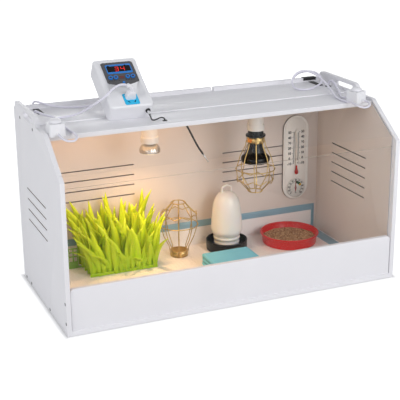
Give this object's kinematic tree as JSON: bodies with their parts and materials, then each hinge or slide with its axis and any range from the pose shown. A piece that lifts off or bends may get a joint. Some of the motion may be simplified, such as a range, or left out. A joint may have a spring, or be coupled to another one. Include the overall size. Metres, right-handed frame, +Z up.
{
  "type": "chick brooder box",
  "caption": "White board brooder box with sliding clear front, sloped clear upper pane, thermostat and dimmers on the roof, heat lamps, drinker, feeder and grass inside.",
  "frame": {"origin": "middle of the underside of the box", "axes": "+X to the right as seen from the front, +Y to the back, +Z up"},
  "size_m": [0.8, 0.4619, 0.522],
  "materials": {
    "white_board": "smooth white foamed plastic board",
    "black_steel": "black screws",
    "clear_pane": "clear acrylic",
    "clear_cover": "clear plastic",
    "white_plastic": "moulded, fine grain",
    "grey_plastic": "printed film",
    "display_glass": "smoked window in a blue frame",
    "blue_plastic": "moulded",
    "cyan_plastic": "moulded",
    "green_board": "printed circuit board",
    "bare_steel": "plain",
    "black_rubber": "soft",
    "lamp_glass": "silvered reflector",
    "black_plastic": "moulded",
    "black_ceramic": "glazed ceramic",
    "brass_wire": "brass-plated wire",
    "tube_glass": "glass with red spirit",
    "dial_card": "printed card",
    "red_plastic": "painted",
    "jar_plastic": "milky translucent",
    "dish_plastic": "moulded",
    "grain": "loose meal",
    "grass_plastic": "cut sheet",
    "pad_fabric": "quilted paper",
    "pack_fabric": "folded pads",
    "white_cord": "smooth sheath",
    "black_strap": "woven strap"
  },
  "bodies": {
    "box": {"floor_panel": "white_board", "left_side_panel": "white_board", "right_side_panel": "white_board", "back_panel": "white_board", "roof_front_board": "white_board", "roof_rear_board": "white_board", "front_board": "white_board", "panel_screws": "black_steel", "upper_window": "clear_pane", "thermostat_front_shell": "white_plastic", "thermostat_back_shell": "white_plastic", "face_panel": "grey_plastic", "display_window": "display_glass", "socket_insert": "cyan_plastic", "circuit_board": "green_board", "thermostat_stand": "bare_steel", "sensor_plug": "bare_steel", "sensor_cable": "black_rubber", "sensor_probe": "bare_steel", "roof_grommets": "black_rubber", "power_plug": "white_plastic", "left_dimmer_body": "white_plastic", "right_dimmer_body": "white_plastic", "left_lamp_holder": "white_plastic", "reflector_lamp": "lamp_glass", "right_lamp_holder": "white_plastic", "lamp_collar": "black_plastic", "ceramic_emitter": "black_ceramic", "lamp_guard": "brass_wire", "spare_guard": "brass_wire", "gauge_plate": "white_plastic", "thermometer_tube": "tube_glass", "hygrometer_dial": "dial_card", "dial_cover": "clear_cover", "grass_mat": "grass_plastic", "floor_pad": "pad_fabric", "pad_pack": "pack_fabric", "thermostat_lead": "white_cord", "thermostat_coil": "white_cord", "plug_lead": "white_cord", "left_lamp_lead": "white_cord", "right_lamp_lead": "white_cord", "right_lead": "white_cord", "right_coil": "white_cord", "mains_plugs": "white_plastic", "cord_ties": "black_strap"},
    "window": {"lower_window": "clear_pane"},
    "left_knob": {"left_dimmer_knob": "white_plastic"},
    "right_knob": {"right_dimmer_knob": "white_plastic"},
    "key_1": {"button_1": "blue_plastic"},
    "key_2": {"button_2": "blue_plastic"},
    "key_3": {"button_3": "blue_plastic"},
    "key_4": {"button_4": "blue_plastic"},
    "needle": {"hygrometer_needle": "red_plastic"},
    "drinker": {"drinker_tray": "black_plastic"},
    "jar": {"drinker_jar": "jar_plastic", "drinker_handle": "jar_plastic"},
    "feeder": {"feeder_dish": "dish_plastic", "feed": "grain"}
  },
  "joints": [
    {"name": "window_slide", "type": "slide", "parent": "box", "child": "window", "axis": [0, 0, 1], "range_m": [0, 0.3]},
    {"name": "left_knob_turn", "type": "hinge", "parent": "box", "child": "left_knob", "pos_m": [-0.371, -0.067, 0.436], "axis": [0, 0, 1], "range_deg": [-135, 135]},
    {"name": "right_knob_turn", "type": "hinge", "parent": "box", "child": "right_knob", "pos_m": [0.352, -0.067, 0.436], "axis": [0, 0, 1], "range_deg": [-135, 135]},
    {"name": "button_1_press", "type": "slide", "parent": "box", "child": "key_1", "axis": [0, 0.5592, -0.829], "range_m": [0, 0.001], "stiffness_N_per_m": 800},
    {"name": "button_2_press", "type": "slide", "parent": "box", "child": "key_2", "axis": [0, 0.5592, -0.829], "range_m": [0, 0.001], "stiffness_N_per_m": 800},
    {"name": "button_3_press", "type": "slide", "parent": "box", "child": "key_3", "axis": [0, 0.5592, -0.829], "range_m": [0, 0.001], "stiffness_N_per_m": 800},
    {"name": "button_4_press", "type": "slide", "parent": "box", "child": "key_4", "axis": [0, 0.5592, -0.829], "range_m": [0, 0.001], "stiffness_N_per_m": 800},
    {"name": "needle_turn", "type": "hinge", "parent": "box", "child": "needle", "pos_m": [0.324, 0.166, 0.131], "axis": [0, 1, 0], "range_deg": [-130, 130]},
    {"name": "drinker_lift", "type": "slide", "parent": "box", "child": "drinker", "axis": [0, 0, 1], "range_m": [0, 0.05]},
    {"name": "jar_twist", "type": "hinge", "parent": "drinker", "child": "jar", "pos_m": [0.104, 0.119, 0.05], "axis": [0, 0, 1], "range_deg": [0, 60]},
    {"name": "feeder_lift", "type": "slide", "parent": "box", "child": "feeder", "axis": [0, 0, 1], "range_m": [0, 0.06]}
  ]
}
